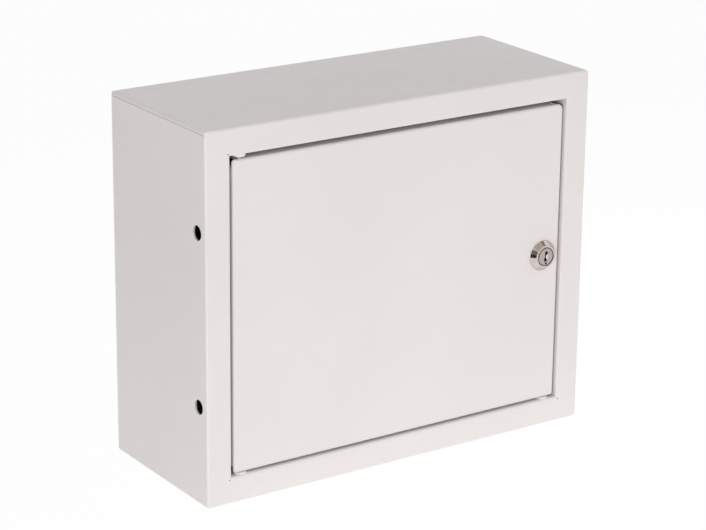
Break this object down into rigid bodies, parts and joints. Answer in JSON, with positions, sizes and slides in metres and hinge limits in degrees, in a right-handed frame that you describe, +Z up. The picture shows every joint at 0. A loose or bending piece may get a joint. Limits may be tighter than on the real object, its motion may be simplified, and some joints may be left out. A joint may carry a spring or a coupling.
{
  "type": "steel wall enclosure",
  "caption": "Shallow painted steel wall box with a recessed hinged door, a cam lock, a removable mounting plate and a plated-over cable entry underneath.",
  "frame": {"origin": "middle of the four wall-fixing holes, on the rear face that lies on the wall", "axes": "+X to the right seen from the front, +Z up, +Y into the wall, so the door faces -Y"},
  "size_m": [0.3, 0.122, 0.25],
  "materials": {
    "enclosure_paint": "light grey powder coat, satin, very fine texture",
    "zinc_sheet": "galvanised sheet with faint spangle",
    "zinc_hardware": "bright zinc plating",
    "nickel": "polished nickel plating, slightly warm",
    "nylon": "natural white nylon",
    "gasket_rubber": "closed-cell foam rubber"
  },
  "bodies": {
    "case": {"case_shell": "enclosure_paint", "back_panel": "enclosure_paint", "door_stop_top": "enclosure_paint", "door_stop_bottom": "enclosure_paint", "mounting_plate": "zinc_sheet", "entry_plate": "zinc_sheet", "plate_studs": "zinc_hardware", "plate_washers": "zinc_hardware", "plate_nuts": "zinc_hardware", "case_earth_stud": "zinc_hardware", "case_earth_washer": "zinc_hardware", "case_earth_nut": "zinc_hardware", "entry_studs": "zinc_hardware", "entry_nuts": "zinc_hardware", "hinge_bush_top": "nylon", "hinge_bush_bottom": "nylon", "spare_bush_top": "nylon", "spare_bush_bottom": "nylon", "plate_spacers": "nylon", "entry_gasket": "gasket_rubber"},
    "door": {"door_panel": "enclosure_paint", "hinge_block_top": "enclosure_paint", "hinge_block_bottom": "enclosure_paint", "hinge_pin_top": "zinc_hardware", "hinge_pin_bottom": "zinc_hardware", "pin_clip": "zinc_hardware", "door_earth_stud": "zinc_hardware", "door_earth_washer": "zinc_hardware", "door_earth_nut": "zinc_hardware", "lock_housing": "nickel", "lock_nut": "nickel"},
    "lock_core": {"lock_plug": "nickel", "stop_washer": "zinc_hardware", "lock_cam": "zinc_hardware", "cam_washer": "zinc_hardware", "cam_screw": "zinc_hardware"}
  },
  "joints": [
    {"name": "door_hinge", "type": "hinge", "parent": "case", "child": "door", "pos_m": [-0.1227, -0.1146, 0], "axis": [0, 0, -1], "range_deg": [0, 120]},
    {"name": "lock_turn", "type": "hinge", "parent": "door", "child": "lock_core", "pos_m": [0.1169, -0.122, -0.00122], "axis": [0, -1, 0], "range_deg": [0, 90]}
  ]
}
